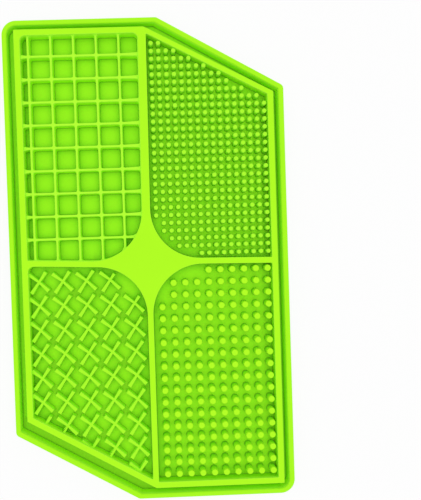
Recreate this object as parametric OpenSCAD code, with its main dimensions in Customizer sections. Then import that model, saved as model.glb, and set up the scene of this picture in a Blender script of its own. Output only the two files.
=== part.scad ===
// Flat silicone lick pad: a six-sided tray with four textured fields round a four-pointed star.
// The origin is under the middle of the tray, on the surface that it rests on.
// +Z is up and +Y runs along the tray, towards the square grid and the fine nubs.

/* [Tray] */
// Length of the tray, end to end
tray_l = 254; // [230:1:280]
// Width of the tray, side to side
tray_w = 147; // [136:1:170]
// Reach of each cut corner along the short end
cut_x = 66; // [55:1:70]
// Reach of each cut corner along the long side
cut_y = 37.5; // [30:0.5:45]
// How much further out the lower cut corner lies than the upper one
low_cut_out = 1; // [0:0.1:2]
// Outside radius of the two square corners
square_corner_r = 7.5; // [4:0.5:12]
// Outside radius of the four blunt corners
blunt_corner_r = 2.8; // [1:0.1:5]
// Thickness of the floor sheet
sheet_t = 2; // [1.2:0.1:4]

/* [Rim] */
// Thickness of the rim wall
rim_t = 2.4; // [1.6:0.1:3.5]
// Height of the rim above the floor
rim_h = 5.4; // [3:0.1:9]
// Smallest inside radius of the rim's corners
rim_inner_r = 0.4; // [0.2:0.1:1]

/* [Drip channel] */
// Width of the channel along the left side
channel_left = 3.9; // [2:0.1:6]
// Width of the channel along the right side
channel_right = 3.2; // [2:0.1:6]
// Width of the channel at the top end
channel_top = 2.5; // [2:0.1:6]
// Width of the channel at the bottom end
channel_bottom = 3.2; // [2:0.1:6]
// Width of the channel along the upper cut corner, at the right side
channel_cut_top = 2.95; // [2:0.05:8]
// Turn of the frame's upper cut against the rim's, in degrees, which widens the channel to the left
channel_cut_turn = 1.7; // [0:0.1:2.5]
// Width of the channel along the lower cut corner
channel_cut_bottom = 7; // [2:0.1:9]

/* [Frame, dividers and star] */
// Thickness of the frame bars
frame_t = 3.1; // [2:0.1:5]
// Thickness of the frame bar along the upper cut corner
frame_cut_t = 2.6; // [2:0.1:5]
// Height of the frame, dividers and star above the floor
frame_h = 6; // [4:0.1:9]
// Outside radius of the frame's top corner, where the cut starts
frame_nose_r = 2.6; // [1:0.1:5]
// Fillet radius in the outer corners of the two left fields
field_fillet_r = 3; // [1:0.1:4]
// Thickness of the divider between the two upper fields
upper_divider_t = 4.7; // [3:0.1:7]
// Sideways place of the upper divider's middle
upper_divider_x = -0.85; // [-3:0.05:1]
// Thickness of the divider between the two lower fields
lower_divider_t = 3; // [2:0.1:6]
// Sideways place of the lower divider's middle
lower_divider_x = -0.45; // [-3:0.05:1]
// Thickness of the left and right dividers
side_divider_t = 3.2; // [2:0.1:6]
// Place of the left divider's middle along the pad
left_divider_y = -0.8; // [-4:0.1:4]
// Place of the right divider's middle along the pad
right_divider_y = -1.3; // [-4:0.1:4]
// Radius of the star's four hollow sides
star_r = 26.5; // [18:0.5:34]

/* [Square grid] */
// Thickness of the ribs
grid_rib_t = 1.4; // [1:0.1:2.5]
// Height of the ribs above the floor
grid_rib_h = 4.6; // [3:0.1:9]
// From the field's left wall to the first long rib's middle
grid_first_x = 3.8; // [3:0.05:8]
// From the field's top wall to the first cross rib's middle
grid_first_y = 10.7; // [6:0.1:14]
// Spacing of the long ribs
grid_pitch_x = 11.89; // [8:0.01:16]
// Spacing of the cross ribs
grid_pitch_y = 12.01; // [8:0.01:16]

/* [Fine nubs] */
// Diameter
fine_d = 2.4; // [1.8:0.1:3]
// Bevel round the top
fine_bevel = 0.2; // [0.1:0.05:0.5]
// Height above the floor
fine_h = 5.4; // [3:0.1:9]
// Spacing across the pad
fine_pitch_x = 3.926; // [3.4:0.001:6]
// Spacing along the pad
fine_pitch_y = 4.114; // [3.4:0.001:6]
// From the field's left wall to the first nub's middle
fine_first_x = 2.74; // [1.8:0.01:5]
// From the field's lower wall to the first nub's middle
fine_first_y = 2.19; // [1.8:0.01:5]
// Least space between a nub and a wall
fine_wall_gap = 0.08; // [0.05:0.01:1]
// Least space between a nub and the star
fine_star_gap = 0.7; // [0.05:0.05:2]

/* [Crosses] */
// Length of each bar of a cross
cross_l = 13.7; // [9:0.1:15]
// Thickness of a bar at its tips
cross_tip_t = 1.9; // [1:0.1:2.5]
// Thickness of a bar at the cross's middle
cross_waist_t = 1.1; // [0.8:0.1:2.5]
// Angle of the falling bar
cross_angle_a = -41; // [-60:1:-30]
// Angle of the rising bar
cross_angle_b = 55; // [30:1:60]
// Bend of the falling bar, each arm downwards
cross_bend = 3.5; // [0:0.5:8]
// How far the rising bar is moved down along itself
cross_drop = 0.5; // [0:0.1:1.5]
// Height above the floor
cross_h = 4; // [3:0.1:9]
// Spacing across the pad
cross_pitch_x = 12.54; // [12.2:0.01:20]
// Spacing along the pad
cross_pitch_y = 12.8; // [12.4:0.01:20]
// From the field's left wall to the first cross's middle
cross_first_x = 5.2; // [4.5:0.05:10]
// From the field's top wall to the first cross's middle
cross_first_y = 7.8; // [6.4:0.1:12]
// How far outside its field the middle of a clipped cross may lie
cross_overhang = 2.5; // [0:0.1:4]
// Space between the bars' cut ends and the star
cross_star_gap = 0.9; // [0.2:0.1:1]

/* [Coarse nubs] */
// Diameter
coarse_d = 3.4; // [2.4:0.1:4.4]
// Bevel round the top
coarse_bevel = 0.3; // [0.1:0.05:0.6]
// Height above the floor
coarse_h = 6; // [3:0.1:9]
// Spacing across the pad
coarse_pitch_x = 6.257; // [5:0.001:9]
// Spacing along the pad
coarse_pitch_y = 6.34; // [5:0.001:9]
// From the field's left wall to the first nub's middle
coarse_first_x = 4.93; // [2.6:0.01:7]
// From the field's lower wall to the last nub's middle
coarse_first_y = 4; // [2.6:0.1:7]
// Least space between a nub and a wall
coarse_wall_gap = 0.65; // [0.05:0.05:2]
// Least space between a nub and the star
coarse_star_gap = 2.05; // [0.05:0.05:4]

/* [Suction cups] */
// Diameter of the lip
cup_d = 18; // [10:0.5:24]
// Diameter where the cup leaves the sheet
cup_neck_d = 14; // [6:0.5:16]
// Height of the cup under the sheet
cup_h = 2.6; // [2:0.1:5]
// Depth of the hollow
cup_hollow = 1.8; // [1:0.1:1.9]
// Width of the flat lip
cup_lip = 0.9; // [0.4:0.1:2]
// Spacing of the cups
cup_pitch = 32; // [26:0.5:50]
// Least space between a cup and the edge of the sheet
cup_edge = 3; // [0:0.5:10]

/* [Hidden] */
$fn = 64;
nub_fn = 24;
// Overlap of a corner's circle with the two sides that it rounds
weld = 0.002;
pad_green = [0.64, 0.95, 0.13];

// Levels
floor_z = cup_h + sheet_t;

// The cut corners lie along a line with this outward direction, this far from the middle
cut_n = [cut_y, cut_x] / norm([cut_y, cut_x]);
cut_c = cut_n * [tray_w / 2, tray_l / 2 - cut_y];

// Six limits of an outline inside the tray: left, right, bottom, top, lower cut, upper cut. The seventh item
// is the upper cut's outward direction. A turned cut keeps its place at the right side.
function limits(left, right, bottom, top, low_cut, high_cut, turn) = let(
  right_x = tray_w / 2 - right,
  right_end = [right_x, (cut_c - high_cut - cut_n.x * right_x) / cut_n.y],
  n = [cut_n.x * cos(turn) - cut_n.y * sin(turn), cut_n.x * sin(turn) + cut_n.y * cos(turn)])
  [left - tray_w / 2, right_x, bottom - tray_l / 2, tray_l / 2 - top,
    low_cut - cut_c - low_cut_out, n * right_end, n];
function inset(m, t, cut_t) = [m[0] + t, m[1] - t, m[2] + t, m[3] - t, m[4] + t, m[5] - cut_t, m[6]];

tray_lim = limits(0, 0, 0, 0, 0, 0, 0);
rim_lim = inset(tray_lim, rim_t, rim_t);
frame_lim = limits(rim_t + channel_left, rim_t + channel_right, rim_t + channel_bottom,
  rim_t + channel_top, rim_t + channel_cut_bottom, rim_t + channel_cut_top, channel_cut_turn);
field_lim = inset(frame_lim, frame_t, frame_cut_t);

// Corners of such an outline, from the square top left corner round the left side
function hexagon(m) = [
  [m[0], m[3]], [m[0], (m[4] - cut_n.x * m[0]) / cut_n.y], [(m[4] - cut_n.y * m[2]) / cut_n.x, m[2]],
  [m[1], m[2]], [m[1], (m[5] - m[6].x * m[1]) / m[6].y], [(m[5] - m[6].y * m[3]) / m[6].x, m[3]]];
function within(p, m, gap) = p.x >= m[0] + gap && p.x <= m[1] - gap && p.y >= m[2] + gap
  && p.y <= m[3] - gap && cut_n * p >= m[4] + gap && m[6] * p <= m[5] - gap;

// Divider edges
upper_x0 = upper_divider_x - upper_divider_t / 2;
upper_x1 = upper_divider_x + upper_divider_t / 2;
lower_x0 = lower_divider_x - lower_divider_t / 2;
lower_x1 = lower_divider_x + lower_divider_t / 2;
left_y0 = left_divider_y - side_divider_t / 2;
left_y1 = left_divider_y + side_divider_t / 2;
right_y0 = right_divider_y - side_divider_t / 2;
right_y1 = right_divider_y + side_divider_t / 2;

// Each field opens from its star corner, [place, direction]
grid_corner = [[upper_x0, left_y1], [-1, 1]];
fine_corner = [[upper_x1, right_y1], [1, 1]];
cross_corner = [[lower_x0, left_y0], [-1, -1]];
coarse_corner = [[lower_x1, right_y0], [1, -1]];

// The star ends where its hollow sides run into the dividers
star_x0 = min(upper_x0, lower_x0) - star_r;
star_x1 = max(upper_x1, lower_x1) + star_r;
star_y0 = min(left_y0, right_y0) - star_r;
star_y1 = max(left_y1, right_y1) + star_r;

function past_star(p, corner, gap, star_gap) = let(
  u = (p.x - corner[0].x) * corner[1].x, v = (p.y - corner[0].y) * corner[1].y)
  u >= gap && v >= gap && (u >= star_r || v >= star_r || norm([star_r - u, star_r - v]) <= star_r - star_gap);

// Rounded outlines
function unit(v) = v / norm(v);
function ahead(pts, i) = unit(pts[(i + 1) % len(pts)] - pts[i]);
function behind(pts, i) = unit(pts[(i + len(pts) - 1) % len(pts)] - pts[i]);
function half_angle(pts, i) = acos(ahead(pts, i) * behind(pts, i)) / 2;
function trimmed(pts, i, r) = let(d = r / tan(half_angle(pts, i)))
  [pts[i] + behind(pts, i) * d, pts[i] + ahead(pts, i) * d];
function round_centre(pts, i, r) = let(inwards = unit(ahead(pts, i) + behind(pts, i)))
  pts[i] + inwards * r / sin(half_angle(pts, i));

module rounded(pts, radii) {
  polygon([for (i = [0 : len(pts) - 1]) each radii[i] > 0 ? trimmed(pts, i, radii[i]) : [pts[i]]]);
  for (i = [0 : len(pts) - 1]) if (radii[i] > 0)
    translate(round_centre(pts, i, radii[i])) circle(radii[i] + weld);
}

function tray_radii(less) = let(a = max(square_corner_r - less, rim_inner_r),
  b = max(blunt_corner_r - less, rim_inner_r)) [a, b, b, a, b, b];

module tray_outline() rounded(hexagon(tray_lim), tray_radii(0));

// A quarter plane with its tip rounded to the star's radius
module open_corner(corner) translate(corner[0])
  mirror([corner[1].x < 0 ? 1 : 0, 0]) mirror([0, corner[1].y < 0 ? 1 : 0]) {
    translate([star_r, star_r]) circle(star_r);
    translate([star_r, 0]) square([tray_w, tray_l]);
    translate([0, star_r]) square([tray_w, tray_l]);
  }

module field(corner) intersection() {
  polygon(hexagon(field_lim));
  open_corner(corner);
}

// Fillet in a corner whose walls leave along +x and -y, or mirrored
module fillet(at, side) translate(at) mirror([side < 0 ? 1 : 0, 0]) difference() {
  translate([0, -field_fillet_r]) square(field_fillet_r);
  translate([field_fillet_r, -field_fillet_r]) circle(field_fillet_r);
}

module grid_left_fillet() fillet([field_lim[0], field_lim[3]], 1);
module grid_right_fillet() fillet([upper_x0, field_lim[3]], -1);
module cross_left_fillet() fillet([field_lim[0], left_y0], 1);

module raised(h) color(pad_green) translate([0, 0, floor_z]) linear_extrude(h) children();

// Tray
module base_sheet() color(pad_green) translate([0, 0, cup_h]) linear_extrude(sheet_t) tray_outline();

module outer_rim() raised(rim_h) difference() {
  tray_outline();
  rounded(hexagon(rim_lim), tray_radii(rim_t));
}

// Frame, dividers and star
module inner_frame() raised(frame_h) {
  difference() {
    rounded(hexagon(frame_lim), [0, 0, 0, 0, 0, frame_nose_r]);
    polygon(hexagon(field_lim));
  }
  grid_left_fillet();
}

module upper_divider() raised(frame_h) intersection() {
  polygon(hexagon(field_lim));
  union() {
    translate([upper_x0, star_y1]) square([upper_divider_t, tray_l]);
    grid_right_fillet();
  }
}

module lower_divider() raised(frame_h) intersection() {
  polygon(hexagon(field_lim));
  translate([lower_x0, star_y0 - tray_l]) square([lower_divider_t, tray_l]);
}

module left_divider() raised(frame_h) {
  translate([field_lim[0], left_y0]) square([star_x0 - field_lim[0], side_divider_t]);
  cross_left_fillet();
}

module right_divider() raised(frame_h)
  translate([star_x1, right_y0]) square([field_lim[1] - star_x1, side_divider_t]);

module centre_star() raised(frame_h) difference() {
  translate([star_x0, star_y0]) square([star_x1 - star_x0, star_y1 - star_y0]);
  for (corner = [grid_corner, fine_corner, cross_corner, coarse_corner]) open_corner(corner);
}

// Square grid
module grid_long_lines() for (x = [field_lim[0] + grid_first_x : grid_pitch_x : upper_x0 - grid_rib_t])
  translate([x - grid_rib_t / 2, left_y0]) square([grid_rib_t, tray_l]);

module grid_cross_lines() for (y = [field_lim[3] - grid_first_y : -grid_pitch_y : left_y1 + grid_rib_t])
  translate([field_lim[0], y - grid_rib_t / 2]) square([tray_w, grid_rib_t]);

module grid_field() difference() {
  field(grid_corner);
  grid_left_fillet();
  grid_right_fillet();
}

module grid_long_ribs() raised(grid_rib_h) intersection() {
  grid_field();
  grid_long_lines();
}

module grid_cross_ribs() raised(grid_rib_h) difference() {
  intersection() {
    grid_field();
    grid_cross_lines();
  }
  grid_long_lines();
}

// Nubs stand on a lattice and keep clear of the walls
module nubs(places, d, bevel, h) color(pad_green) for (p = places) translate([p.x, p.y, floor_z])
  rotate_extrude($fn = nub_fn) polygon([[0, 0], [d / 2, 0], [d / 2, h - bevel], [d / 2 - bevel, h], [0, h]]);

fine_places = [
  for (x = [upper_x1 + fine_first_x : fine_pitch_x : field_lim[1]],
       y = [right_y1 + fine_first_y : fine_pitch_y : field_lim[3]])
    if (within([x, y], field_lim, fine_d / 2 + fine_wall_gap)
      && past_star([x, y], fine_corner, fine_d / 2 + fine_wall_gap,
        fine_d / 2 + fine_star_gap)) [x, y]];

coarse_places = [
  for (x = [lower_x1 + coarse_first_x : coarse_pitch_x : field_lim[1]],
       y = [field_lim[2] + coarse_first_y : coarse_pitch_y : right_y0])
    if (within([x, y], field_lim, coarse_d / 2 + coarse_wall_gap)
      && past_star([x, y], coarse_corner, coarse_d / 2 + coarse_wall_gap,
        coarse_d / 2 + coarse_star_gap)) [x, y]];

module fine_nubs() nubs(fine_places, fine_d, fine_bevel, fine_h);

module coarse_nubs() nubs(coarse_places, coarse_d, coarse_bevel, coarse_h);

// Crosses, clipped where they run into a wall
cross_places = [
  for (x = [field_lim[0] + cross_first_x : cross_pitch_x : lower_x0],
       y = [left_y0 - cross_first_y : -cross_pitch_y : field_lim[2]])
    if (within([x, y], field_lim, -cross_overhang) && past_star([x, y], cross_corner, 0, 0)) [x, y]];

// The four arms of a cross, [angle, length]
cross_arms = [
  [cross_angle_a - cross_bend, cross_l / 2], [cross_angle_b, cross_l / 2 - cross_drop],
  [cross_angle_a + 180 + cross_bend, cross_l / 2], [cross_angle_b + 180, cross_l / 2 + cross_drop]];

// An arm that points out of the field is left out where the cross's middle is at the wall
function arm_l(p, arm) = let(tip = p + arm[1] * [cos(arm[0]), sin(arm[0])])
  within(tip, field_lim, 0) || within(p, field_lim, cross_tip_t) ? arm[1] : cross_waist_t / 4;
function arm_half_t(l) = (cross_waist_t + (cross_tip_t - cross_waist_t) * l / (cross_l / 2)) / 2;

module cross_arm(l) polygon([
  [0, -cross_waist_t / 2], [l, -arm_half_t(l)], [l, arm_half_t(l)], [0, cross_waist_t / 2]]);

module cross_ribs() raised(cross_h) intersection() {
  difference() {
    field(cross_corner);
    cross_left_fillet();
  }
  translate([-cross_star_gap, -cross_star_gap]) open_corner(cross_corner);
  for (p = cross_places) translate(p) for (arm = cross_arms) rotate(arm[0]) cross_arm(arm_l(p, arm));
}

// Suction cups: a cone with a round hollow that leaves a flat lip
cup_mouth_r = cup_d / 2 - cup_lip;
cup_hollow_r = (pow(cup_mouth_r, 2) + pow(cup_hollow, 2)) / (2 * cup_hollow);
cup_cols = floor(tray_w / 2 / cup_pitch);
cup_rows = floor(tray_l / 2 / cup_pitch);
cup_places = [
  for (i = [-cup_cols : cup_cols], j = [-cup_rows : cup_rows]) let(p = [(i + 0.5) * cup_pitch, j * cup_pitch])
    if (within(p, tray_lim, cup_d / 2 + cup_edge)) p];

module suction_cups() color(pad_green) for (p = cup_places) translate(p) difference() {
  cylinder(h = cup_h, d1 = cup_d, d2 = cup_neck_d);
  translate([0, 0, cup_hollow - cup_hollow_r]) sphere(cup_hollow_r);
}

base_sheet();
outer_rim();
inner_frame();
upper_divider();
lower_divider();
left_divider();
right_divider();
centre_star();
grid_long_ribs();
grid_cross_ribs();
fine_nubs();
cross_ribs();
coarse_nubs();
suction_cups();
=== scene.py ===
import bmesh
import bpy
import numpy as np
from mathutils.geometry import delaunay_2d_cdt
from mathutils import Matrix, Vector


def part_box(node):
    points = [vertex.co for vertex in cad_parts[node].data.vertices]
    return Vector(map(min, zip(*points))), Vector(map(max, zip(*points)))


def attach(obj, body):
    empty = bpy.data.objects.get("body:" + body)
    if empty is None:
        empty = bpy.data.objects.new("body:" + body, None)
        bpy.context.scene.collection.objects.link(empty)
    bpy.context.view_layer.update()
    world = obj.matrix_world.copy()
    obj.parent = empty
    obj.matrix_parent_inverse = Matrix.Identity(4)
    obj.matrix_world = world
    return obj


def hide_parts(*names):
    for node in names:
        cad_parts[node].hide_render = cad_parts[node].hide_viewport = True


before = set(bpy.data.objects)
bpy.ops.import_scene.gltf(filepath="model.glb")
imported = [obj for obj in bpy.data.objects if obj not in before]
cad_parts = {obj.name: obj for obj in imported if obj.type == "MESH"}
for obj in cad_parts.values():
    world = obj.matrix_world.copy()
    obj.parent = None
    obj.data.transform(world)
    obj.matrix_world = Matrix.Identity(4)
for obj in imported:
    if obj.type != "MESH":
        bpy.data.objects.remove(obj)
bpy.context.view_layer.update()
mm = 0.001  # the dictionaries and the surfaces below are in millimetres
print("frame loaded:", len(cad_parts), "nodes")


def boxOf(node):
    low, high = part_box(node)
    return np.array(low) / mm, np.array(high) / mm


# What the pieces share: levels and the straight walls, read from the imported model

sheetLow, sheetHigh = boxOf("base_sheet")
frameLow, frameHigh = boxOf("inner_frame")
underZ, floorZ = sheetLow[2], sheetHigh[2]
rimTop = boxOf("outer_rim")[1][2]
frameTop = frameHigh[2]
ribTop = boxOf("grid_long_ribs")[1][2]

tray = {
    "cutX": 66.0,  # reach of a cut corner along the short end
    "cutY": 37.5,  # and along the long side
    "lowCutOut": 1.0,  # the lower cut lies this much further out
    "squareRadius": 7.5,  # of the two square corners
    "bluntRadius": 2.8,  # of the four blunt ones
    "rimWall": 2.4,
}
raised = {
    "bar": 3.1,  # frame bars
    "cutBar": 2.6,  # the bar along the upper cut
    "channelTop": 2.95,  # drip channel along the upper cut, at the right side
    "channelTurn": 1.7,  # degrees that the upper cut's bar is turned against the rim
    "channelLow": 7.0,  # channel along the lower cut
    "noseRadius": 2.6,
    "filletRadius": 3.0,
    "starRadius": 26.5,
    "corner": 0.5,  # rounding of the frame's other corners
    "edge": 0.22,  # rounding of the top edges
    "lean": 0.1,  # a wall's foot stands this much further out than its top
    "root": 0.35,  # hollow rounding at the foot
}
dividers = {  # width, degrees turned counter-clockwise and a move across, as the photo shows them
    "upper": {"bar": 4.3, "turn": -0.45, "move": 0.18},
    "lower": {"bar": 3.0, "turn": 0.0, "move": 0.0},
    "left": {"bar": 3.05, "turn": -2.4, "move": -0.08},
    "right": {"bar": 3.1, "turn": -1.2, "move": -0.7},
}
sink = 0.2  # pieces reach this far into the sheet that carries them

cutNormal = np.array([tray["cutY"], tray["cutX"]])
cutNormal = cutNormal / np.linalg.norm(cutNormal)
cutReach = cutNormal @ [sheetHigh[0], sheetHigh[1] - tray["cutY"]]
lowCut = -cutReach - tray["lowCutOut"]


def cutY(limit, x, normal=cutNormal):
    return (limit - normal[0] * x) / normal[1]


def cutX(limit, y, normal=cutNormal):
    return (limit - normal[1] * y) / normal[0]


# the frame's upper cut is turned about its right end
turn = np.radians(raised["channelTurn"])
highNormal = np.array([[np.cos(turn), -np.sin(turn)], [np.sin(turn), np.cos(turn)]]) @ cutNormal
highEnd = np.array([frameHigh[0], cutY(cutReach - tray["rimWall"] - raised["channelTop"], frameHigh[0])])

# limits of an outline: left, right, bottom, top, lower cut, upper cut
trayLimits = np.array([sheetLow[0], sheetHigh[0], sheetLow[1], sheetHigh[1], lowCut, cutReach])
frameLimits = np.array([
    frameLow[0], frameHigh[0], frameLow[1], frameHigh[1],
    lowCut + tray["rimWall"] + raised["channelLow"], highNormal @ highEnd])
outwards = np.array([-1, 1, -1, 1, -1, 1])
fieldLimits = frameLimits - outwards * np.array([raised["bar"]] * 5 + [raised["cutBar"]])
fieldLeft, fieldBottom, fieldTop, fieldLowCut = fieldLimits[[0, 2, 3, 4]]

# The dividers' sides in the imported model. Two of their boxes hold a fillet too, so the widths of
# those two bars are given.
solidBars = {"upper": 4.7, "left": 3.2}
dividerBoxes = {name: np.array(boxOf(name + "_divider")) for name in dividers}
lowerX0, lowerX1 = dividerBoxes["lower"][:, 0]
rightY0, rightY1 = dividerBoxes["right"][:, 1]
upperX1, leftY1 = dividerBoxes["upper"][1, 0], dividerBoxes["left"][1, 1]
upperX0, leftY0 = upperX1 - solidBars["upper"], leftY1 - solidBars["left"]


def hexagon(limits, highWay):
    # From the square top left corner down the left side and round, counter-clockwise. highWay is
    # the direction out of the upper cut.
    left, right, bottom, top, low, high = limits
    return [(left, top), (left, cutY(low, left)), (cutX(low, bottom), bottom),
            (right, bottom), (right, cutY(high, right, highWay)), (cutX(high, top, highWay), top)]


# outward directions and reaches of the six sides
trayNormals = np.array([[-1, 0], [1, 0], [0, -1], [0, 1], -cutNormal, cutNormal])
wallNormals = np.array([[-1, 0], [1, 0], [0, -1], [0, 1], -cutNormal, highNormal])
trayReach, frameReach, wallReach = trayLimits * outwards, frameLimits * outwards, fieldLimits * outwards


# Fields. A side is a line: its direction out of the field, x and y, and its reach that way.

def meet(a, b):
    return np.linalg.solve([a[:2], b[:2]], [a[2], b[2]])


def dividerSides(name, low, high, upright):
    # the divider's low and high sides, each out of the field that it bounds
    spec = dividers[name]
    turn = np.radians(spec["turn"])
    along = dividerBoxes[name].mean(0)
    across = (low + high) / 2 + spec["move"]
    middle = np.array([across, along[1]] if upright else [along[0], across])
    normal = np.array([np.cos(turn), np.sin(turn)] if upright else [-np.sin(turn), np.cos(turn)])
    reach = normal @ middle
    return np.append(normal, reach - spec["bar"] / 2), np.append(-normal, -reach - spec["bar"] / 2)


wallLeft, wallRight, wallBottom, wallTop, wallLow, wallHigh = np.column_stack([wallNormals, wallReach])
upperLow, upperHigh = dividerSides("upper", upperX0, upperX1, True)
lowerLow, lowerHigh = dividerSides("lower", lowerX0, lowerX1, True)
leftLow, leftHigh = dividerSides("left", leftY0, leftY1, False)
rightLow, rightHigh = dividerSides("right", rightY0, rightY1, False)

# sides of the four fields, counter-clockwise, and the rounding of the corner after each
star, fillet, corner = raised["starRadius"], raised["filletRadius"], raised["corner"]
fields = {
    "grid": (np.array([wallTop, wallLeft, leftHigh, upperLow]), [fillet, corner, star, fillet]),
    "fine": (np.array([wallHigh, upperHigh, rightHigh, wallRight]), [corner, star, corner, corner]),
    "cross": (np.array([leftLow, wallLeft, wallLow, lowerLow]), [fillet, corner, corner, star]),
    "coarse": (np.array([rightLow, lowerHigh, wallBottom, wallRight]), [star, corner, corner, corner]),
}


def cornersOf(field):
    sides = fields[field][0]
    return [meet(a, b) for a, b in zip(sides, np.roll(sides, -1, 0))]


def starSides(field):
    # the two sides that the star's hollow edge joins
    sides, radii = fields[field]
    k = radii.index(star)
    return sides[[k, (k + 1) % len(sides)]]


def starMiddle(field):
    # middle of the star's hollow edge
    return meet(*(starSides(field) - [0, 0, star]))


def byStar(field, points):
    # which points lie where the star's edge bounds the field, and how far they are from the edge's middle
    away = points - starMiddle(field)
    return (away @ starSides(field)[:, :2].T > 0).all(-1), np.linalg.norm(away, axis=-1)


# Surfaces. A patch is its points, a tone for each point and its faces. The material turns tones
# into colour: 0 in a crease, 0.5 on the floor, 1 on a flat top, 1.5 on a thin top edge. The tones
# are painted light: painted shade in creases, a painted highlight on thin top edges.

creaseTone, floorTone, topTone = 0.0, 0.5, 1.0
# painted light down a wall: a painted highlight along the top edge, painted shade at the foot
wallPaintedLight = np.array([1.0, 1.3, 1.4, 1.4, 0.6, 0.15, 0.0, 0.05, 0.0])  # from a flat top to below the foot
leastRadius = 0.05  # of a corner that is all used up by an offset


def unit(v):
    return v / np.linalg.norm(v, axis=-1, keepdims=True)


def offsetCorners(corners, amount):
    # Moves the sides of a counter-clockwise polygon outwards, all by one amount or each by its own.
    # Where the directions out of a corner's two sides have the cosine c between them, the corner
    # moves by the sum of amount x (direction - c x the other direction), over 1 - c squared.
    corners = np.asarray(corners, float)
    along = unit(np.roll(corners, -1, 0) - corners)
    after = np.stack([along[:, 1], -along[:, 0]], -1)
    before = np.roll(after, 1, 0)
    farAfter = np.broadcast_to(amount, len(corners))[:, None]
    farBefore = np.roll(farAfter, 1, 0)
    c = (before * after).sum(-1, keepdims=True)
    return corners + (farAfter * (after - c * before) + farBefore * (before - c * after)) / (1 - c ** 2)


def arcSteps(corners, radii, sag=0.006):
    # how many steps an arc needs to stay within the sag
    corners, radii = np.asarray(corners, float), np.asarray(radii, float)
    ahead = unit(np.roll(corners, -1, 0) - corners)
    behind = unit(np.roll(corners, 1, 0) - corners)
    turn = np.pi - np.arccos(np.clip((ahead * behind).sum(-1), -1, 1))
    return np.ceil(turn / (2 * np.arccos(1 - sag / radii))).astype(int) + 1


def roundedPath(corners, radii, steps):
    # Closed path round a convex polygon: an arc that touches both sides takes each corner's place.
    # A point is the arc's centre plus the radius times its direction.
    corners, radii = np.asarray(corners, float), np.asarray(radii, float)
    ahead = unit(np.roll(corners, -1, 0) - corners)
    behind = unit(np.roll(corners, 1, 0) - corners)
    half = np.arccos(np.clip((ahead * behind).sum(-1), -1, 1)) / 2
    centres = corners + unit(ahead + behind) * (radii / np.sin(half))[:, None]
    which = np.repeat(np.arange(len(corners)), steps + 1)
    first = np.cumsum(steps + 1) - steps - 1
    share = (np.arange(len(which)) - first[which]) / steps[which]
    angle = np.arctan2(behind[:, 0], -behind[:, 1])[which] + (np.pi - 2 * half)[which] * share
    return centres[which] + radii[which, None] * np.stack([np.cos(angle), np.sin(angle)], -1)


def lift(flat, heights):
    # adds a height to each ring of flat points, rings on the last axis but two
    tall = np.broadcast_to(np.asarray(heights)[:, None, None], flat.shape[:-1] + (1,))
    return np.concatenate([flat, tall], -1)


def sweep(corners, radii, profile, hole=False):
    # Profile carried round a polygon with arcs: ring k is the outline moved out of the solid by
    # offset k, which may differ from side to side, at height k. Round a hole, out of the solid is
    # into the hole, and the path runs the other way.
    offsets, heights = profile[:2]
    steps = arcSteps(corners, radii)
    side = -1 if hole else 1
    rings = []
    for offset in offsets:
        move = np.broadcast_to(side * offset, len(corners))
        grown = np.maximum(radii + (move + np.roll(move, 1)) / 2, leastRadius)
        rings.append(roundedPath(offsetCorners(corners, move), grown, steps))
    return lift(np.stack(rings)[:, ::side], heights)


def wallProfile(top, foot, shape):
    # From a flat top to the floor: a quarter round edge, a leaning wall, a quarter round root, then
    # straight down into the sheet. Offsets count outwards from the wall's top line.
    edge, root, lean = shape["edge"], shape["root"], shape["lean"]
    a = np.linspace(0, np.pi / 2, len(wallPaintedLight) // 2)
    offsets = np.concatenate([edge * (np.sin(a) - 1), lean + root * (1 - np.cos(a)), [lean + root]])
    heights = np.concatenate([
        top - edge * (1 - np.cos(a)), foot + root * (1 - np.sin(a)), [foot - sink]])
    tones = wallPaintedLight.copy()
    tones[0] = shape.get("topTone", topTone)
    return offsets, heights, tones


def ringQuads(rows, cols):
    # quads of a grid whose columns close into a ring
    k, i = np.meshgrid(np.arange(rows - 1), np.arange(cols), indexing="ij")
    j = (i + 1) % cols
    this, below = k * cols, (k + 1) * cols
    return np.stack([this + i, below + i, below + j, this + j], -1).reshape(-1, 4)


def skinOf(rings, tones):
    return rings.reshape(-1, 3), np.repeat(tones, rings.shape[1]), [ringQuads(*rings.shape[:2])]


def fan(loop, centre, up, tone):
    # cap: triangles from a middle point to a closed loop
    i = np.arange(len(loop))
    j = (i + 1) % len(loop)
    middle = np.full_like(i, len(loop))
    faces = np.stack([middle, i, j] if up else [middle, j, i], -1)
    return np.vstack([loop, centre]), np.full(len(loop) + 1, tone), [faces]


def flatFill(loops, height, up, tone, inside=np.zeros((0, 2))):
    # flat sheet between an outer loop and the convex holes in it, with more points inside
    points = np.concatenate(loops)
    sizes = [len(loop) for loop in loops]
    ring = np.repeat(np.arange(len(loops)), sizes)
    start = np.repeat(np.cumsum([0] + sizes[:-1]), sizes)
    place = np.arange(len(points))
    after = start + (place - start + 1) % np.repeat(sizes, sizes)
    points = np.concatenate([points, inside])
    ring = np.concatenate([ring, np.zeros(len(inside), int)])
    edges = np.stack([place, after], -1)
    made = delaunay_2d_cdt(points.tolist(), edges.tolist(), [], 1, 1e-6)  # 1 keeps what the edges enclose
    source = np.array([origin[0] for origin in made[3]])
    faces = source[np.array(made[2])]
    a, b, c = points[faces[:, 0]], points[faces[:, 1]], points[faces[:, 2]]
    turn = (b - a)[:, 0] * (c - a)[:, 1] - (b - a)[:, 1] * (c - a)[:, 0]
    faces = np.where((turn > 0)[:, None] == up, faces, faces[:, ::-1])
    sameHole = (ring[faces] == ring[faces[:, :1]]).all(-1) & (ring[faces[:, 0]] > 0)
    flat = np.column_stack([points, np.full(len(points), height)])
    return flat, np.broadcast_to(tone, len(points)), [faces[~sameHole]]


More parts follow.
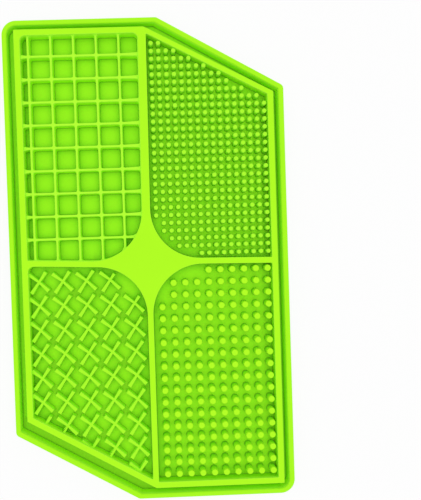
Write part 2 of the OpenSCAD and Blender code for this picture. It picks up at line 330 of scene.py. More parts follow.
def turned(radii, heights, tones, places, sides):
    # Turned profile at each place: (k, i) = place + radius k x direction i, at height k, with flat ends
    angle = np.arange(sides) * 2 * np.pi / sides
    ring = np.stack([np.cos(angle), np.sin(angle)], -1)
    flat = places[:, None, None] + np.asarray(radii)[None, :, None, None] * ring
    shapes = lift(flat, heights)
    copies, rings = shapes.shape[:2]
    first = np.arange(copies)[:, None, None] * rings * sides
    one = np.arange(sides)
    faces = [ringQuads(rings, sides), one[None], (rings - 1) * sides + one[None, ::-1]]
    return (shapes.reshape(-1, 3), np.tile(np.repeat(tones, sides), copies),
            [(f[None] + first).reshape(-1, f.shape[1]) for f in faces])


meshing = {"merge": 0.0005, "sliver": 0.0002, "sharpAngle": 50}


def buildPiece(name, patches, material, nodes):
    starts = np.cumsum([0] + [len(points) for points, tones, faces in patches[:-1]])
    points = np.concatenate([patch[0] for patch in patches]) * mm
    tones = np.concatenate([patch[1] for patch in patches])
    faces = [row for patch, start in zip(patches, starts)
             for kind in patch[2] for row in (kind + start).tolist()]
    mesh = bpy.data.meshes.new(name)
    mesh.from_pydata(points.tolist(), [], faces)
    mesh.attributes.new("tone", "FLOAT", "POINT").data.foreach_set("value", tones.astype(np.float32))
    work = bmesh.new()
    work.from_mesh(mesh)
    bmesh.ops.remove_doubles(work, verts=work.verts, dist=meshing["merge"] * mm)
    bmesh.ops.dissolve_degenerate(work, edges=work.edges, dist=meshing["sliver"] * mm)
    work.to_mesh(mesh)
    work.free()
    mesh.shade_smooth()
    mesh.set_sharp_from_angle(angle=np.radians(meshing["sharpAngle"]))
    piece = bpy.data.objects.new(name, mesh)
    bpy.context.scene.collection.objects.link(piece)
    piece.modifiers.new("weightedNormals", "WEIGHTED_NORMAL").keep_sharp = True
    mesh.materials.append(material)
    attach(piece, "root")
    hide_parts(*nodes)
    print(name, len(mesh.vertices), "points", len(mesh.polygons), "faces")


# Silicone

skinNoise = {"cloudScale": 38.0, "grainScale": 2600.0, "grainGloss": 0.16}  # scales are per metre


def addNode(tree, kind, **values):
    node = tree.nodes.new(kind)
    for key, value in values.items():
        if hasattr(node, key):
            setattr(node, key, value)
        else:
            node.inputs[key].default_value = value
    return node


def makeSkinGroup():
    # Moulded silicone: the points' tone picks the colour, with slow clouds in it and a fine grain. Low
    # tones give painted shade in the crease colour, high tones a painted highlight in the edge colour
    tree = bpy.data.node_groups.new("silicone_painted_light", "ShaderNodeTree")
    for name, kind, value in (("Crease Colour", "NodeSocketColor", (0.05, 0.3, 0.0, 1)),
                              ("Floor Colour", "NodeSocketColor", (0.3, 0.8, 0.02, 1)),
                              ("Top Colour", "NodeSocketColor", (0.4, 0.9, 0.02, 1)),
                              ("Edge Colour", "NodeSocketColor", (0.5, 0.95, 0.05, 1)),
                              ("Clouds", "NodeSocketFloat", 0.04),
                              ("Roughness", "NodeSocketFloat", 0.45)):
        tree.interface.new_socket(name=name, in_out="INPUT", socket_type=kind).default_value = value
    for name, kind in (("Colour", "NodeSocketColor"), ("Roughness", "NodeSocketFloat"),
                       ("Grain", "NodeSocketFloat")):
        tree.interface.new_socket(name=name, in_out="OUTPUT", socket_type=kind)
    link = tree.links.new
    given = tree.nodes.new("NodeGroupInput")
    result = tree.nodes.new("NodeGroupOutput")
    place = tree.nodes.new("ShaderNodeTexCoord").outputs["Object"]
    tone = addNode(tree, "ShaderNodeAttribute", attribute_name="tone").outputs["Fac"]

    # by tone, from the painted shade colour of creases through floor and top to the painted highlight
    # colour of edges
    colour = given.outputs["Crease Colour"]
    toneStep = floorTone - creaseTone
    for name, low in (("Floor Colour", creaseTone), ("Top Colour", floorTone), ("Edge Colour", topTone)):
        share = tree.nodes.new("ShaderNodeMapRange")
        link(tone, share.inputs["Value"])
        share.inputs["From Min"].default_value = low
        share.inputs["From Max"].default_value = low + toneStep
        mix = addNode(tree, "ShaderNodeMix", data_type="RGBA")
        link(share.outputs[0], mix.inputs["Factor"])
        link(colour, mix.inputs[6])
        link(given.outputs[name], mix.inputs[7])
        colour = mix.outputs[2]

    clouds = addNode(tree, "ShaderNodeTexNoise", Scale=skinNoise["cloudScale"], Detail=3.0, Roughness=0.55)
    link(place, clouds.inputs["Vector"])
    centred = addNode(tree, "ShaderNodeMath", operation="SUBTRACT")
    link(clouds.outputs["Fac"], centred.inputs[0])
    centred.inputs[1].default_value = 0.5
    shade = addNode(tree, "ShaderNodeMath", operation="MULTIPLY_ADD")
    link(centred.outputs[0], shade.inputs[0])
    link(given.outputs["Clouds"], shade.inputs[1])
    shade.inputs[2].default_value = 1.0
    tint = tree.nodes.new("ShaderNodeHueSaturation")
    link(colour, tint.inputs["Color"])
    link(shade.outputs[0], tint.inputs["Value"])
    link(tint.outputs[0], result.inputs["Colour"])

    grain = addNode(tree, "ShaderNodeTexNoise", Scale=skinNoise["grainScale"], Detail=4.0, Roughness=0.6)
    link(place, grain.inputs["Vector"])
    link(grain.outputs["Fac"], result.inputs["Grain"])
    gloss = addNode(tree, "ShaderNodeMath", operation="MULTIPLY_ADD")
    link(grain.outputs["Fac"], gloss.inputs[0])
    gloss.inputs[1].default_value = skinNoise["grainGloss"]
    link(given.outputs["Roughness"], gloss.inputs[2])
    link(gloss.outputs[0], result.inputs["Roughness"])
    return tree


skinGroup = makeSkinGroup()


def siliconeMaterial(name, look):
    material = bpy.data.materials.new(name)
    material.use_nodes = True
    tree = material.node_tree
    shader = tree.nodes["Principled BSDF"]
    skin = addNode(tree, "ShaderNodeGroup", node_tree=skinGroup)
    for key in ("crease", "floor", "top", "edge"):
        skin.inputs[key.capitalize() + " Colour"].default_value = look[key] + (1.0,)
    skin.inputs["Clouds"].default_value = look["clouds"]
    skin.inputs["Roughness"].default_value = look["roughness"]
    bump = addNode(tree, "ShaderNodeBump", Strength=look["grain"], Distance=look["grainDepth"] * mm)
    tree.links.new(skin.outputs["Colour"], shader.inputs["Base Color"])
    tree.links.new(skin.outputs["Roughness"], shader.inputs["Roughness"])
    tree.links.new(skin.outputs["Grain"], bump.inputs["Height"])
    tree.links.new(bump.outputs["Normal"], shader.inputs["Normal"])
    shader.inputs["IOR"].default_value = look["ior"]
    shader.inputs["Specular IOR Level"].default_value = look["gloss"]
    return material


# crease colours are painted shade and edge colours painted highlight; the top colours paint flat tops a
# little paler than the floor
bodyLook = {
    "crease": (0.15, 0.43, 0.006), "floor": (0.383, 0.925, 0.009), "top": (0.42, 0.95, 0.01),
    "edge": (0.47, 0.98, 0.055), "clouds": 0.05, "roughness": 0.45, "gloss": 0.15, "ior": 1.41,
    "grain": 0.2, "grainDepth": 0.1,
}
barLook = dict(bodyLook, crease=(0.22, 0.54, 0.008), top=(0.4, 0.945, 0.02))
pegLook = dict(bodyLook, crease=(0.15, 0.44, 0.01), floor=(0.4, 0.92, 0.02))
coarseLook = dict(pegLook, top=(0.435, 0.955, 0.012), edge=(0.46, 0.97, 0.045))
fineLook = dict(pegLook, top=(0.41, 0.95, 0.024), edge=(0.46, 0.97, 0.09))
bodySilicone = siliconeMaterial("silicone_body", bodyLook)
barSilicone = siliconeMaterial("silicone_cross_bars", barLook)
coarseSilicone = siliconeMaterial("silicone_coarse_pegs", coarseLook)
fineSilicone = siliconeMaterial("silicone_fine_pegs", fineLook)
print("materials made")


# Frame, dividers and star: one raised plate with four openings

def makeFrame():
    profile = wallProfile(frameTop, floorZ, raised)
    walls = [sweep(hexagon(frameLimits, highNormal), [corner] * 5 + [raised["noseRadius"]], profile)]
    walls += [sweep(cornersOf(field), fields[field][1], profile, hole=True) for field in fields]
    tops = [wall[0, :, :2] for wall in walls]
    feet = [wall[-1, :, :2] for wall in walls]
    caps = [flatFill(tops, frameTop, True, topTone), flatFill(feet, floorZ - sink, False, creaseTone)]
    return [skinOf(wall, profile[2]) for wall in walls] + caps


buildPiece("frame_star", makeFrame(), bodySilicone, [
    "inner_frame", "upper_divider", "lower_divider", "left_divider", "right_divider", "centre_star"])


# Square grid: the field's area with a soft-cornered opening for each cell

grid = {
    "ribWall": 1.1,  # at the top
    "firstX": 3.8, "stepX": 11.89,  # from the left wall
    "firstY": 10.7, "stepY": 12.01,  # down from the top wall
    # ribs across widen by this on each side, where they meet the frame and the divider
    "flareLeft": 0.5, "flareRight": 0.4,
    "softness": 14.0,  # power of the soft corner, higher is squarer
    # the ribs' tops take a painted highlight, top tone 1.2
    "edge": 0.2, "root": 0.3, "lean": 0.25, "topTone": 1.2,
    "overlap": 0.5,  # the ribs reach this far into the frame
    "points": 72,  # round each cell
    "crowd": 2 / 7,  # crowds them towards the corners
    "samples": 16,  # each way, to find a cell's middle
    "starWays": 24,  # directions that stand for the star's hollow edge
    "leastArea": 3.0,  # smaller openings are left out
}


def gridLines():
    ribX = np.arange(fieldLeft + grid["firstX"], upperX0 - grid["ribWall"], grid["stepX"])
    ribY = np.arange(fieldTop - grid["firstY"], leftY1 + grid["ribWall"], -grid["stepY"])
    return ribX, ribY


def makeGrid():
    # Along each direction from a cell's middle, the reach is the smallest distance to its walls and
    # to the star, softened where two are alike: (sum of reach to the power -p) to the power -1/p.
    half = grid["ribWall"] / 2
    ribX, ribY = gridLines()
    lowX, highX = np.append(fieldLeft, ribX + half), np.append(ribX - half, upperX0)
    highY, lowY = np.append(fieldTop, ribY - half), np.append(ribY + half, leftY1)
    column, row = [v.ravel() for v in np.meshgrid(np.arange(len(lowX)), np.arange(len(lowY)))]
    x0, x1, y0, y1 = lowX[column], highX[column], lowY[row], highY[row]
    pivot = starMiddle("grid")
    below, right = starSides("grid")

    share = (np.arange(grid["samples"]) + 0.5) / grid["samples"]
    u, v = [t.ravel() for t in np.meshgrid(share, share)]
    samples = np.stack([x0[:, None] + (x1 - x0)[:, None] * u,
                        y0[:, None] + (y1 - y0)[:, None] * v], -1)
    away = samples - pivot
    kept = (away @ right[:2] < 0) | (away @ below[:2] < 0) | (np.linalg.norm(away, axis=-1) < star)
    large = kept.mean(-1) * (x1 - x0) * (y1 - y0) > grid["leastArea"]
    column, row, x0, x1, y0, y1 = [v[large] for v in (column, row, x0, x1, y0, y1)]
    samples, kept = samples[large], kept[large]
    middles = (samples * kept[..., None]).sum(1) / kept.sum(-1)[:, None]

    # the four walls of a cell, slanted where a rib widens and along the dividers
    lastColumn, lastRow = column == len(ribX), row == len(ribY)
    flareL = np.where(column == 0, grid["flareLeft"], 0)
    flareR = np.where(lastColumn, grid["flareRight"], 0)
    lowL, lowR = [np.where(lastRow, (below[2] - below[0] * x) / below[1], y0 + flare)
                  for x, flare in ((x0, flareL), (x1, flareR))]
    rightL, rightH = [np.where(lastColumn, (right[2] - right[1] * y) / right[0], x1) for y in (y0, y1)]
    topL, topR = [y1 - flare * (row > 0) for flare in (flareL, flareR)]
    quads = np.stack([np.stack([x0, lowL], -1), np.stack([rightL, lowR], -1),
                      np.stack([rightH, topR], -1), np.stack([x0, topL], -1)], 1)
    along = unit(np.roll(quads, -1, 1) - quads)
    normals = np.stack([along[..., 1], -along[..., 0]], -1)
    room = ((quads - middles[:, None]) * normals).sum(-1)

    t = np.arange(grid["points"]) * 2 * np.pi / grid["points"]
    aim = np.stack([np.sign(np.cos(t)) * np.abs(np.cos(t)) ** grid["crowd"],
                    np.sign(np.sin(t)) * np.abs(np.sin(t)) ** grid["crowd"]], -1)
    ways = unit(aim[None] * np.stack([x1 - x0, y1 - y0], -1)[:, None])
    slope = np.linspace(np.arctan2(right[1], right[0]), np.arctan2(below[1], below[0]), grid["starWays"])
    starWays = np.stack([np.cos(slope), np.sin(slope)], -1)  # out to the star's hollow edge
    starRoom = star - (middles - pivot) @ starWays.T

    tiny = 1e-6

    def loopAt(offset):
        near = np.maximum(ways @ normals.transpose(0, 2, 1), tiny) / (room - offset)[:, None]
        starNear = (np.maximum(ways @ starWays.T, tiny) / (starRoom - offset)[:, None]).max(-1)
        near = np.concatenate([near, starNear[..., None]], -1)
        reach = (near ** grid["softness"]).sum(-1) ** (-1 / grid["softness"])
        return middles[:, None] + ways * reach[..., None]

    offsets, heights, tones = wallProfile(ribTop, floorZ, grid)
    cells = np.stack([loopAt(o) for o in offsets], 1)[:, :, ::-1]  # cell, profile, point
    walls = lift(cells, heights)
    outlineRadii = [corner, corner, star, corner]  # the frame's own fillets cover the two upper corners
    skirt = sweep(cornersOf("grid"), outlineRadii, ([grid["overlap"]] * 2, [ribTop, floorZ - sink]))
    outline = skirt[0, :, :2]
    caps = [flatFill([outline] + list(cells[:, 0]), ribTop, True, grid["topTone"]),
            flatFill([outline] + list(cells[:, -1]), floorZ - sink, False, creaseTone)]
    return [skinOf(wall, tones) for wall in walls] + [skinOf(skirt, [topTone] * 2)] + caps


buildPiece("square_grid", makeGrid(), bodySilicone, ["grid_long_ribs", "grid_cross_ribs"])


# Pegs

def pegPlaces(spec, first, tip, side):
    # Lattice from the first peg, less the pegs that come too near a wall or the star. The tip is the
    # corner of the field that the star fills, and side says which way the field lies from it.
    steps = np.array([spec["stepX"], spec["stepY"]])
    count = np.ceil(sheetHigh[1] / steps).astype(int)
    i, j = [v.ravel() for v in np.meshgrid(np.arange(count[0]), np.arange(count[1]), indexing="ij")]
    places = np.asarray(first) + np.stack([i, j], -1) * steps
    fromTip = (places - tip) * side
    wallRoom = np.minimum((wallReach - places @ wallNormals.T).min(-1), fromTip.min(-1))
    nearStar = (fromTip < star).all(-1)
    starRoom = np.where(nearStar, star - np.linalg.norm(star - fromTip, axis=-1), np.inf)
    half = spec["width"] / 2
    return places[(wallRoom >= half + spec["wallGap"]) & (starRoom >= half + spec["starGap"])]


pegWall = {
    "middle": 0.45,  # the wall's middle ring stands this share of the height up
    "footLift": 0.12,
    # painted shade, deepening down the wall to the foot
    "tones": [0.5, 0.1, 0.0],  # middle ring, foot, below the foot
}


def makePegs(places, spec, top):
    # Turned pegs: a flat top, a soft edge, a wall that tapers a little and a root in the sheet, with
    # painted shade down the wall to the foot
    edge, root = spec["edge"], spec["root"]
    half = spec["width"] / 2
    base = half + spec["taper"]
    middle = floorZ + pegWall["middle"] * (top - floorZ)
    radii = [half - edge, half, (half + base) / 2, base, base + root]
    heights = [top, top - edge, middle, floorZ + pegWall["footLift"], floorZ - sink]
    tones = [spec["topTone"], spec["edgeTone"]] + pegWall["tones"]
    return [turned(radii, heights, tones, places, spec["sides"])]


# top and edge tones are painted light: a painted highlight on the fine pegs' edges, painted shade on the
# coarse pegs' edges
finePegs = {
    "width": 2.4, "firstX": 2.74, "firstY": 2.19, "stepX": 3.926, "stepY": 4.114,
    "wallGap": 0.08, "starGap": 0.7,
    "edge": 0.25, "root": 0.45, "taper": 0.05, "sides": 12, "topTone": 0.85, "edgeTone": 1.35,
}
coarsePegs = {
    "width": 3.4, "firstX": 4.93, "firstY": 4.0, "stepX": 6.257, "stepY": 6.34,
    "wallGap": 0.65, "starGap": 2.05,
    "edge": 0.3, "root": 0.5, "taper": 0.05, "sides": 16, "topTone": 1.0, "edgeTone": 0.9,
}
finePlaces = pegPlaces(
    finePegs, (upperX1 + finePegs["firstX"], rightY1 + finePegs["firstY"]),
    (upperX1, rightY1), (1, 1))
coarsePlaces = pegPlaces(
    coarsePegs, (lowerX1 + coarsePegs["firstX"], fieldBottom + coarsePegs["firstY"]),
    (lowerX1, rightY0), (1, -1))
print("pegs:", len(finePlaces), "fine,", len(coarsePlaces), "coarse")
fineTop, coarseTop = boxOf("fine_nubs")[1][2], boxOf("coarse_nubs")[1][2]
buildPiece("fine_pegs", makePegs(finePlaces, finePegs, fineTop), fineSilicone, ["fine_nubs"])
buildPiece("coarse_pegs", makePegs(coarsePlaces, coarsePegs, coarseTop), coarseSilicone, ["coarse_nubs"])


# Crosses

crosses = {
    "length": 13.7, "tip": 1.9, "waist": 1.1,  # of one bar
    "angles": (-41, 55),  # falling bar, rising bar
    "bend": 3.5,  # the falling bar's arms are bent down by this
    "drop": 0.5,  # the rising bar is moved down along itself
    "firstX": 5.2, "firstY": 7.8, "stepX": 12.54, "stepY": 12.8,
    "overhang": 2.5,  # a cross whose middle lies this far outside is still drawn
    "starGap": 2.0,  # bars end this far from the star
    "overlap": 0.6,  # clipped bars reach this far into the wall
    "stub": 1.15,  # an arm that is left out ends here, in reaches of its notches
    "edge": 0.12, "root": 0.35, "lean": 0.12, "topTone": 0.9,
    "sidePoints": 12,
}


def roomAt(points):
    # distance to the nearest wall of the frame, less than 0 outside
    return (wallReach - points @ wallNormals.T).min(-1)


def crossArms():
    # directions and lengths of the four arms, counter-clockwise
    a, b = crosses["angles"]
    arms = np.radians([a - crosses["bend"], b, a + 180 + crosses["bend"], b + 180])
    reaches = crosses["length"] / 2 + crosses["drop"] * np.array([0, -1, 0, 1])
    return np.stack([np.cos(arms), np.sin(arms)], -1), reaches


def crossLoops(places):
    # Outlines of four arms that widen to their tips. Along an arm, side points run from the notch to
    # the tip and back. An arm that points into the wall is left out where the cross's middle is at
    # the wall. An arm by the star ends where its line meets a circle about the middle of the star's
    # edge.
    reach = crosses["length"] / 2
    waist, tip = crosses["waist"] / 2, crosses["tip"] / 2
    grow = (tip - waist) / reach
    ways, reaches = crossArms()
    gapAfter = np.arccos((ways * np.roll(ways, -1, 0)).sum(-1))
    notchAfter = waist / (np.tan(gapAfter / 2) - grow)  # along the arm
    notchBefore = np.roll(notchAfter, 1)
    tips = places[:, None] + reaches[:, None] * ways
    kept = (roomAt(places)[:, None] >= crosses["tip"]) | (roomAt(tips) >= 0)
    armReach = np.where(kept, reaches, crosses["stub"] * np.maximum(notchAfter, notchBefore))
    fromStar = places - starMiddle("cross")
    run = fromStar @ ways.T
    apart = (fromStar ** 2).sum(-1)[:, None]
    starReach = np.sqrt((star - crosses["starGap"]) ** 2 + run ** 2 - apart) - run
    armReach = np.where(byStar("cross", tips)[0], np.minimum(armReach, starReach), armReach)[..., None]
    share = np.linspace(0, 1, crosses["sidePoints"])
    out = notchBefore[:, None] + (armReach - notchBefore[:, None]) * share
    back = notchAfter[:, None] + (armReach - notchAfter[:, None]) * share[:0:-1]
    along = np.concatenate([out, back], -1)
    across = np.concatenate([-waist - grow * out, waist + grow * back], -1)
    c, s = ways[:, :1], ways[:, 1:]
    loops = np.stack([along * c - across * s, along * s + across * c], -1)
    return loops.reshape(len(places), -1, 2)


def loopNormals(loops):
    # outward normals of closed counter-clockwise loops, longer at their corners
    before = unit(loops - np.roll(loops, 1, 1))
    before = np.stack([before[..., 1], -before[..., 0]], -1)
    after = np.roll(before, -1, 1)
    return (before + after) / (1 + (before * after).sum(-1, keepdims=True))


def intoField(points):
    # moves what lies outside the lower left field onto its walls, a little way in
    room = crosses["overlap"]
    x = np.clip(points[..., 0], fieldLeft - room, lowerX0)
    flat = np.stack([x, np.minimum(points[..., 1], leftY0)], -1)
    short = np.maximum(fieldLowCut - room - flat @ cutNormal, 0)
    return flat + short[..., None] * cutNormal


def crossPlaces():
    x = np.arange(fieldLeft + crosses["firstX"], lowerX0, crosses["stepX"])
    y = np.arange(leftY0 - crosses["firstY"], fieldBottom, -crosses["stepY"])
    places = np.stack([v.ravel() for v in np.meshgrid(x, y)], -1)
    fromTip = np.array([lowerX0, leftY0]) - places
    inStar = (fromTip < star).all(-1) & (np.linalg.norm(star - fromTip, axis=-1) > star)
    return places[(roomAt(places) >= -crosses["overhang"]) & ~inStar]


def makeCrosses(places):
    top = boxOf("cross_ribs")[1][2]
    offsets, heights, tones = wallProfile(top, floorZ, crosses)
    loops = crossLoops(places)
    flat = places[:, None, None] + loops[:, None] + loopNormals(loops)[:, None] * offsets[:, None, None]
    shapes = lift(intoField(flat), heights)
    middles = intoField(places)
    patches = [skinOf(shape, tones) for shape in shapes]
    patches += [fan(shape[0], (*middle, top), True, tones[0]) for shape, middle in zip(shapes, middles)]
    patches += [fan(shape[-1], (*middle, floorZ - sink), False, creaseTone)
                for shape, middle in zip(shapes, middles)]
    return patches


crossMiddles = crossPlaces()
print("crosses:", len(crossMiddles))
buildPiece("cross_bars", makeCrosses(crossMiddles), barSilicone, ["cross_ribs"])


# Tray: floor, rim and underside in one skin

tray.update({
    "rimEdgeOut": 0.3, "rimEdgeIn": 0.8,  # rounding of the rim's top edges
    # for the left side, lower cut, bottom, right side, upper cut and top
    "widen": np.array([0.1, 0.4, 0.0, 0.35, 0.2, 0.0]),  # the rim is this much thicker
    "lean": np.array([0.0, 0.45, 0.45, 0.45, 0.5, 0.2]),  # its inner wall's foot is this much further in
    "root": 0.3,  # hollow rounding where that wall meets the floor
    # a strip of floor beside the rim is painted with the crease's painted shade
    "shadeReach": 0.4,  # floor beside the rim that takes up the crease's tone
    "underEdge": 0.5,
    # floor, root of the inner wall, inner edge, outer edge, lower edge: painted shade at the root,
    # painted highlight on the inner edge
    "tones": [0.5] + [0.0, 0.0, 0.0, 0.35, 0.7] + [1.4, 1.0, 0.7, 0.55, 0.5]
    + [0.5, 0.55, 0.65, 0.7, 0.7] + [0.6, 0.55, 0.5, 0.5, 0.5],
})
# painted shade on the floor beside walls, ribs, bars and pegs
floorShade = {
    "wallDepth": 0.5, "wallReach": 2.2,  # beside the fields' walls
    "channelDepth": 0.3, "channelReach": 2.2,  # beside the rim and the frame's outer walls
    "ribDepth": 0.55, "ribReach": 1.6,  # beside the grid's ribs
    "barDepth": 0.38, "barReach": 1.3,  # beside the crosses' bars
    "coarseDepth": 0.2, "coarseReach": 1.0, "fineDepth": 0.1, "fineReach": 0.8,  # beside the pegs
    # painted shade over the whole channel along the lower cut
    "lowChannel": 0.55,  # all along the lower cut's channel
    "step": 0.9,  # spacing of the floor's points
    "edgeRoom": 0.36,  # which stay this far from its outline
}


def shadeFactor(distance, what="wall"):
    depth, reach = floorShade[what + "Depth"], floorShade[what + "Reach"]
    return 1 - depth * np.exp(-np.maximum(distance, 0) / reach)


def floorShadeTones(points):
    # The floor's tone is painted shade: it darkens towards what stands on it. For each wall, rib, bar
    # and peg nearby the tone is multiplied by 1 - depth x e to the power (-distance / reach).
    past = (points @ wallNormals.T - frameReach).max(-1)  # outside the frame
    light = shadeFactor(trayReach - tray["rimWall"] - points @ trayNormals.T, "channel").prod(-1)
    light *= shadeFactor(np.where(past > 0, past, np.inf), "channel")
    light *= np.where(-points @ cutNormal > frameReach[4], floorShade["lowChannel"], 1.0)
    inside = {}
    for field, (sides, radii) in fields.items():
        room = sides[:, 2] - points @ sides[:, :2].T
        near, length = byStar(field, points)
        starRoom = np.where(near, star - length, np.inf)
        inside[field] = (room > 0).all(-1)
        light *= np.where(inside[field], shadeFactor(room).prod(-1) * shadeFactor(starRoom), 1.0)
    ribX, ribY = gridLines()
    ribs = shadeFactor(np.abs(points[:, :1] - ribX) - grid["ribWall"] / 2, "rib").prod(-1)
    ribs *= shadeFactor(np.abs(points[:, 1:] - ribY) - grid["ribWall"] / 2, "rib").prod(-1)
    light *= np.where(inside["grid"], ribs, 1.0)
    near = np.flatnonzero(inside["cross"])
    apart = points[near][:, None] - crossMiddles
    for way, reach in zip(*crossArms()):
        along = np.clip(apart @ way, 0, reach)
        gap = np.linalg.norm(apart - along[..., None] * way, axis=-1) - crosses["tip"] / 2
        light[near] *= shadeFactor(gap, "bar").prod(-1)
    for kind, spec, places in (("coarse", coarsePegs, coarsePlaces), ("fine", finePegs, finePlaces)):
        near = np.flatnonzero(inside[kind])
        gap = np.linalg.norm(points[near][:, None] - places, axis=-1) - spec["width"] / 2
        light[near] *= shadeFactor(gap, kind).prod(-1)
    return floorTone * light


def floorPoints(loop):
    # square lattice inside a convex loop
    x = np.arange(trayLimits[0], trayLimits[1], floorShade["step"])
    y = np.arange(trayLimits[2], trayLimits[3], floorShade["step"])
    points = np.stack([v.ravel() for v in np.meshgrid(x, y)], -1)
    along = unit(np.roll(loop, -1, 0) - loop)
    normals = np.stack([along[:, 1], -along[:, 0]], -1)
    room = ((loop * normals).sum(-1) - points @ normals.T).min(-1)
    return points[room > floorShade["edgeRoom"]]


def makeTray():
    # Profile from the floor over the rim to the underside, carried round the outline
    radii = np.where(np.arange(6) % 3 == 0, tray["squareRadius"], tray["bluntRadius"])
    a = np.linspace(0, np.pi / 2, 5)
    sine, cosine = np.sin(a), np.cos(a)
    root, under, edgeIn, edgeOut = tray["root"], tray["underEdge"], tray["rimEdgeIn"], tray["rimEdgeOut"]
    inner = -tray["rimWall"] - tray["widen"]
    foot = inner - tray["lean"]
    offsets = [foot - root - tray["shadeReach"], *(foot - root * (1 - sine)[:, None]),
               *(inner + edgeIn * (1 - cosine)[:, None]), *(edgeOut * (sine - 1)), *(under * (cosine - 1))]
    heights = np.concatenate([
        [floorZ], floorZ + root * (1 - cosine), rimTop - edgeIn * (1 - sine),
        rimTop - edgeOut * (1 - cosine), underZ + under * (1 - sine)])
    skin = sweep(hexagon(trayLimits, cutNormal), radii, (offsets, heights))
    loop = skin[0, :, :2]
    inside = floorPoints(loop)
    points, ringTones, faces = skinOf(skin, tray["tones"])
    ringTones[:len(loop)] = floorShadeTones(loop)
    floor = flatFill([loop], floorZ, True, floorShadeTones(np.concatenate([loop, inside])), inside)
    return [(points, ringTones, faces), floor, fan(skin[-1], (0, 0, underZ), False, floorTone)]


buildPiece("tray_body", makeTray(), bodySilicone, ["base_sheet", "outer_rim"])


# Suction cups under the sheet

cups = {
    "lip": 18.0, "neck": 14.0,  # widths
    "lipFlat": 0.9, "hollow": 1.8,  # width of the ring that touches the ground, height of the dome
    "neckLift": 0.1,  # the neck starts this far inside the sheet
    "flarePower": 1.3,  # 1 is a straight cone, more stays slim for longer
    "lipHeight": 0.35, "lipEdge": 0.3,
    "poleShare": 0.04,  # the dome ends in a flat of this share of its mouth
    # painted shade at the neck and inside the dome, paler on the flare and lip
    "neckTone": 0.1, "flareTone": 0.6, "lipTone": 0.8, "domeTone": 0.3,
    "pitch": 32.0, "edgeGap": 3.0, "sides": 40,
}


def makeCups():
    # Turned profile: out from the neck in a flare, round the lip, then up a shallow dome inside
    columns = np.floor(sheetHigh[0] / cups["pitch"])
    rows = np.floor(sheetHigh[1] / cups["pitch"])
    x = (np.arange(-columns, columns) + 0.5) * cups["pitch"]
    y = np.arange(-rows, rows + 1) * cups["pitch"]
    places = np.stack([v.ravel() for v in np.meshgrid(x, y)], -1)
    room = (trayReach - places @ trayNormals.T).min(-1)
    places = places[room >= cups["lip"] / 2 + cups["edgeGap"]]
    lip, neck, mouth = cups["lip"] / 2, cups["neck"] / 2, cups["lip"] / 2 - cups["lipFlat"]
    t = np.linspace(0, 1, 6)
    neckZ = underZ + cups["neckLift"]
    flareR = neck + (lip - neck) * t ** cups["flarePower"]
    flareZ = neckZ + (cups["lipHeight"] - neckZ) * t
    a = np.linspace(0, np.pi / 2, 4)[1:]
    edgeR, edgeZ = lip - cups["lipEdge"] * (1 - np.cos(a)), cups["lipEdge"] * (1 - np.sin(a))
    r = mouth * np.linspace(1, cups["poleShare"], 9)
    domeZ = cups["hollow"] * (1 - (r / mouth) ** 2)
    radii, heights = np.concatenate([flareR, edgeR, r]), np.concatenate([flareZ, edgeZ, domeZ])
    tones = np.concatenate([
        np.linspace(cups["neckTone"], cups["flareTone"], len(t)), np.full(len(a), cups["lipTone"]),
        np.linspace(cups["flareTone"], cups["domeTone"], len(r))])
    print("cups:", len(places))
    return [turned(radii, heights, tones, places, cups["sides"])]


buildPiece("suction_cup_set", makeCups(), bodySilicone, ["suction_cups"])


# Stage

stage = {
    "floorSize": 3.0,  # metres
    "floorDrop": 0.1,  # millimetres below the cups
    "pale": 0.86,  # the floor's own colour
    "white": 0.9,  # share of plain white that the camera sees in it
    "floorRoughness": 0.9, "floorGloss": 0.1,
    "worldStrength": 0.85, "backdrop": 0.97,
}


def makeFloor():
    half = stage["floorSize"] / 2
    mesh = bpy.data.meshes.new("floor")
    z = -stage["floorDrop"] * mm
    corners = [(-half, -half, z), (half, -half, z), (half, half, z), (-half, half, z)]
    mesh.from_pydata(corners, [], [(0, 1, 2, 3)])
    floor = bpy.data.objects.new("floor", mesh)
    bpy.context.scene.collection.objects.link(floor)
    material = bpy.data.materials.new("pale_floor")
    material.use_nodes = True
    tree = material.node_tree
    shader = tree.nodes["Principled BSDF"]
    shader.inputs["Base Color"].default_value = (stage["pale"],) * 3 + (1,)
    shader.inputs["Roughness"].default_value = stage["floorRoughness"]
    shader.inputs["Specular IOR Level"].default_value = stage["floorGloss"]
    glow = addNode(tree, "ShaderNodeEmission", Strength=1.0)
    rays = tree.nodes.new("ShaderNodeLightPath")
    seen = addNode(tree, "ShaderNodeMath", operation="MAXIMUM")
    seenToo = addNode(tree, "ShaderNodeMath", operation="MAXIMUM")
    share = addNode(tree, "ShaderNodeMath", operation="MULTIPLY")
    share.inputs[1].default_value = stage["white"]
    mix = tree.nodes.new("ShaderNodeMixShader")
    link = tree.links.new
    link(rays.outputs["Is Camera Ray"], seen.inputs[0])
    link(rays.outputs["Is Glossy Ray"], seen.inputs[1])
    link(seen.outputs[0], seenToo.inputs[0])
    link(rays.outputs["Is Transmission Ray"], seenToo.inputs[1])
    link(seenToo.outputs[0], share.inputs[0])
    link(share.outputs[0], mix.inputs["Fac"])
    link(shader.outputs[0], mix.inputs[1])
    link(glow.outputs[0], mix.inputs[2])
    link(mix.outputs[0], tree.nodes["Material Output"].inputs["Surface"])
    mesh.materials.append(material)


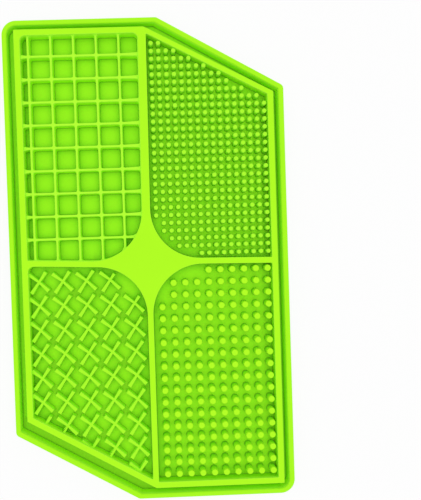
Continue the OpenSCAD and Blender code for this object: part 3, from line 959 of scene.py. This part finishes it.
def makeWorld():
    world = bpy.data.worlds.new("soft_white")
    world.use_nodes = True
    tree = world.node_tree
    light = tree.nodes["Background"]
    light.inputs["Strength"].default_value = stage["worldStrength"]
    light.inputs["Color"].default_value = (1, 1, 1, 1)
    backdrop = addNode(tree, "ShaderNodeBackground", Strength=1.0)
    backdrop.inputs["Color"].default_value = (stage["backdrop"],) * 3 + (1,)
    rays = tree.nodes.new("ShaderNodeLightPath")
    mix = tree.nodes.new("ShaderNodeMixShader")
    tree.links.new(rays.outputs["Is Camera Ray"], mix.inputs["Fac"])
    tree.links.new(light.outputs[0], mix.inputs[1])
    tree.links.new(backdrop.outputs[0], mix.inputs[2])
    tree.links.new(mix.outputs[0], tree.nodes["World Output"].inputs["Surface"])
    bpy.context.scene.world = world


softbox = {"height": 1.0, "width": 1.5, "power": 2.8}  # round, straight above, in metres and watts


def makeLight():
    data = bpy.data.lights.new("softbox", "AREA")
    data.shape = "DISK"
    data.size = softbox["width"]
    data.energy = softbox["power"]
    light = bpy.data.objects.new("softbox", data)
    light.location = (0, 0, softbox["height"])
    bpy.context.scene.collection.objects.link(light)


# Photograph's view, nearly straight down
view = {
    "eye": (0.396, 9.129, 296.648),  # millimetres
    "turn": (-0.01464, -0.01869, -0.03304),  # radians
    "focal": 543.3,  # in pixels of the 421 x 500 image
    "middleX": 160.0,  # pixel column that the lens looks at
    "imageWidth": 421, "imageHeight": 500, "sensor": 36.0,
}


def makeCamera():
    data = bpy.data.cameras.new("camera")
    data.sensor_width = view["sensor"]
    data.lens = view["focal"] / view["imageHeight"] * view["sensor"]
    data.shift_x = (view["imageWidth"] / 2 - view["middleX"]) / view["imageHeight"]
    camera = bpy.data.objects.new("camera", data)
    camera.location = np.array(view["eye"]) * mm
    camera.rotation_euler = view["turn"]
    bpy.context.scene.collection.objects.link(camera)
    bpy.context.scene.camera = camera


makeFloor()
makeWorld()
makeLight()
makeCamera()
bpy.context.scene.view_settings.view_transform = "Standard"
print("stage ready")
